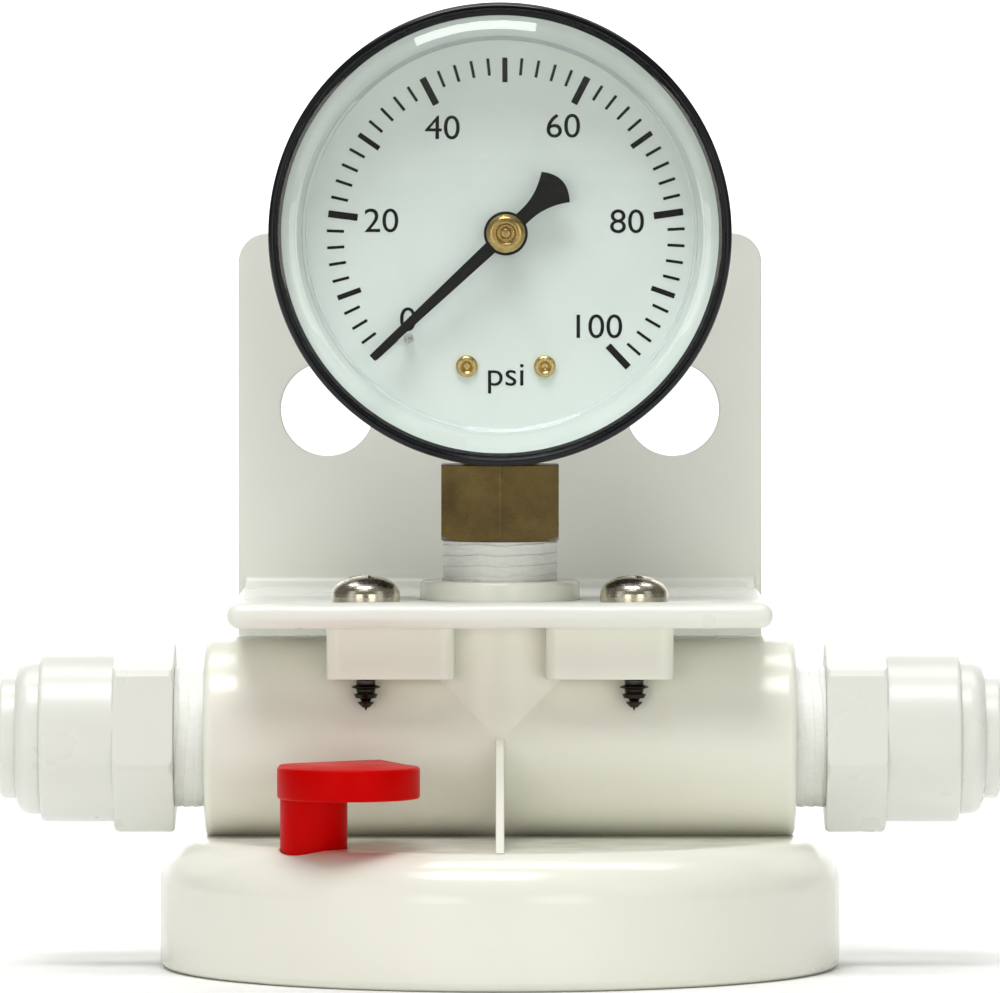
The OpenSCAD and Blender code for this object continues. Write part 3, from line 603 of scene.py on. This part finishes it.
def make_front_edge(coat):
    """Thick coating that has run round the front lip of the shelf, swelling and sagging a little."""
    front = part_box("wall_bracket")[0].y
    shelf = [v.co.z for v in NODES["wall_bracket"].data.vertices if v.co.y < front + 0.05 * MM]
    bottom, top = min(shelf) / MM, max(shelf) / MM
    r = (top - bottom) / 2 + LIP_OVER
    points = [(0.0, -LIP_HALF, 0), (r, -LIP_HALF, LIP_END), *((r, float(x), 0) for x in range(-30, 31)),
              (r, LIP_HALF, LIP_END), (0.0, LIP_HALF, 0)]
    bm = turned_mesh(rounded_line(points, 8), 28)
    for v in bm.verts:
        swell = 1 + 0.05 * noise.noise(Vector((v.co.z * 0.18, 1.7, 0.0)))
        sag = 0.10 * noise.noise(Vector((v.co.z * 0.11, 5.2, 0.0)))
        v.co.x = v.co.x * swell - sag
        v.co.y *= swell
    placed(bm, TO_RIGHT, (0, front / MM + LIP_REACH, (bottom + top) / 2))
    fit_out(to_object("coating_lip", bm, sharp=60), "head", "white_coated_steel", coat)


# ------------------------------------------------------------------ sealing tape


def wound_tape(radius, low, high, wraps, wobble, seed):
    """A sleeve of tape wound round a thread: each wrap laps the last and its edge wanders."""
    rows, steps = 14 * wraps, 144
    line = [(radius - 0.5, low), *((radius, low + (high - low) * k / rows) for k in range(rows + 1)),
            (radius - 0.5, high)]
    bm = turned_mesh(line, steps)
    pitch = (high - low) / wraps
    for v in bm.verts:
        reach = math.hypot(v.co.x, v.co.y)
        if reach < radius - 0.25:
            continue
        angle = math.atan2(v.co.y, v.co.x)
        lift = 0.12 * pitch * math.sin(angle * 2 + seed) + 0.25 * pitch * noise.noise(
            Vector((math.cos(angle), math.sin(angle), seed)) * 1.7)
        turn = (v.co.z - low + lift) / pitch - angle / (2 * math.pi)
        lap = turn - math.floor(turn)
        spot = Vector((v.co.x * 1.3, v.co.y * 1.3, v.co.z * 2.2 + seed))
        crease = 0.3 * noise.noise(spot) + 0.12 * noise.noise(spot * 3.1)
        height = wobble * (0.8 * lap ** 0.5 - 0.65 + crease)
        v.co.x += height * v.co.x / reach
        v.co.y += height * v.co.y / reach
    return bm


def make_gauge_tape(film):
    """Tape on the gauge's thread, from inside the collar up to the hexagon."""
    low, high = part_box("gauge_thread_tape")
    collar_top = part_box("manifold_body")[1].z / MM
    radius = (high.x - low.x) / 2 / MM
    bm = wound_tape(radius, collar_top - 0.4, high.z / MM, 4, 0.36, 3.0)
    obj = to_object("wound_gauge_tape", bm, sharp=60)
    fit_out(obj, "head", "sealing_tape", film, "gauge_thread_tape")


def mirror_to(bm, way):
    """Flips a right-hand piece over to the left when way is -1."""
    if way < 0:
        bmesh.ops.scale(bm, verts=bm.verts, vec=(-1, 1, 1))
        bmesh.ops.reverse_faces(bm, faces=bm.faces)


def make_fitting_tape(film, side, way):
    """Tape on a fitting's pipe thread, between the manifold and the hexagon."""
    low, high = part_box(side + "_thread_tape")
    radius = (high.y - low.y) / 2 / MM
    axis_z = (low.z + high.z) / 2 / MM
    near, far = sorted((abs(low.x) / MM, abs(high.x) / MM))
    bm = wound_tape(radius - 0.05, near, far, 3, 0.2, 7.0 + way)
    placed(bm, TO_RIGHT, (0, 0, axis_z))
    mirror_to(bm, way)
    obj = to_object(side + "_wound_tape", bm, sharp=60)
    fit_out(obj, "head", "sealing_tape", film, side + "_thread_tape")


# ------------------------------------------------------------------ build

make_camera()

WHITE = moulded_plastic("white_housing_plastic", (0.835, 0.84, 0.755), (0.85, 0.855, 0.77), (0.16, 0.24))
FITTING = moulded_plastic("white_fitting_plastic", (0.77, 0.785, 0.74), (0.775, 0.79, 0.745), (0.27, 0.30))
ACETAL = moulded_plastic("inner_acetal", (0.84, 0.84, 0.80), (0.87, 0.87, 0.84))
RED = moulded_plastic("red_lever_plastic", (0.50, 0.0, 0.0), (0.60, 0.0, 0.0), (0.3, 0.42), shine=0.04)
COAT = powder_coat("white_powder_coat")
BRASS = brass("bar_brass")
TURNED = brass("turned_brass", (0.62, 0.46, 0.19), (0.45, 0.31, 0.11), (0.18, 0.32), (1, 1, 1))
BRONZE = brass("bronze_strip", (0.52, 0.33, 0.15), (0.38, 0.23, 0.10), (0.22, 0.35), (1, 6, 1))
# The near-black second colour is painted shade on the screw points below 37 mm.
SCREW = screw_steel("plated_screw_steel", (0.62, 0.58, 0.47), (0.035, 0.03, 0.025), 37 * MM)
SPRING = bright_steel("spring_steel", (0.62, 0.63, 0.64), (0.2, 0.34))
PRIMER = grey_primer("primed_case_inside")
BLACK = black_enamel("black_case_enamel")
SEAL = rubber("seal_rubber")
DIAL = dial_paint("dial_lacquer")
INK_BLACK = dial_ink("dial_ink")
NEEDLE = needle_paint("needle_paint")
FILM = sealing_film("thread_tape_film")
CLEAR = clear_plastic("lens_acrylic")

SLOT_FINISH = {
    "white_housing": WHITE, "pale_acetal": ACETAL, "black_rubber": SEAL, "white_coated_steel": COAT,
    "plated_screws": SCREW, "red_plastic": RED, "brass": TURNED, "spring_steel": SPRING,
    "sealing_tape": FILM, "black_coated_steel": BLACK, "clear_lens": CLEAR, "dial_white": DIAL,
    "bronze_tube": BRONZE, "black_needle": NEEDLE, "white_fitting": FITTING,
}
NODE_SLOT = {part["node"]: part["material_slot"] for part in frame["record"]["subparts"]}
for node_name, node_object in NODES.items():
    finish = SLOT_FINISH[NODE_SLOT[node_name]]
    if node_name == "gauge_socket":
        finish = BRASS
    node_object.data.materials.clear()
    node_object.data.materials.append(finish)

make_dial_scale(INK_BLACK)
make_numerals(INK_BLACK)
make_eyelets(TURNED)
make_hub(TURNED)
make_lens(CLEAR)
make_case(BLACK, PRIMER)
make_gauge_tape(FILM)
for side_name, way_out in (("left", -1), ("right", 1)):
    make_fitting_tape(FILM, side_name, way_out)
coated_bracket = softened("coated_wall_bracket", "wall_bracket", 1.15, 5)
fit_out(coated_bracket, "head", "white_coated_steel", COAT, "wall_bracket")
make_front_edge(COAT)
fit_out(softened("rounded_valve_lever", "valve_lever", 0.35), "lever", "red_plastic", RED, "valve_lever")

make_sweep(sweep_paper("sweep_paper"))
make_softbox("overhead_box", (-0.10, -0.45, 1.05), (0.55, 0.35), 6.6)
make_softbox("left_box", (-0.9, -0.75, 0.35), (0.45, 0.9), 0.9)
make_softbox("right_box", (0.9, -0.75, 0.4), (0.45, 0.9), 0.8)
make_softbox("left_card", (-0.5, -1.3, 0.16), (0.5, 0.4), 1.8, (1.0, 0.97, 0.87))
make_softbox("right_card", (0.5, -1.3, 0.16), (0.5, 0.4), 1.8, (1.0, 0.97, 0.87))
make_softbox("backdrop_light", (0.0, 0.25, 1.3), (1.6, 0.5), 12.0, aim=(0.0, 0.9, 0.15))
make_softbox("far_paper_light", (0.0, 2.0, 2.2), (3.0, 0.8), 95.0, aim=(0.0, 3.1, 1.2))
world = bpy.data.worlds.new("studio_air")
world.use_nodes = True
world.node_tree.nodes["Background"].inputs["Color"].default_value = (1.0, 0.97, 0.88, 1.0)
world.node_tree.nodes["Background"].inputs["Strength"].default_value = 0.16
bpy.context.scene.world = world
bpy.context.scene.view_settings.view_transform = "Standard"
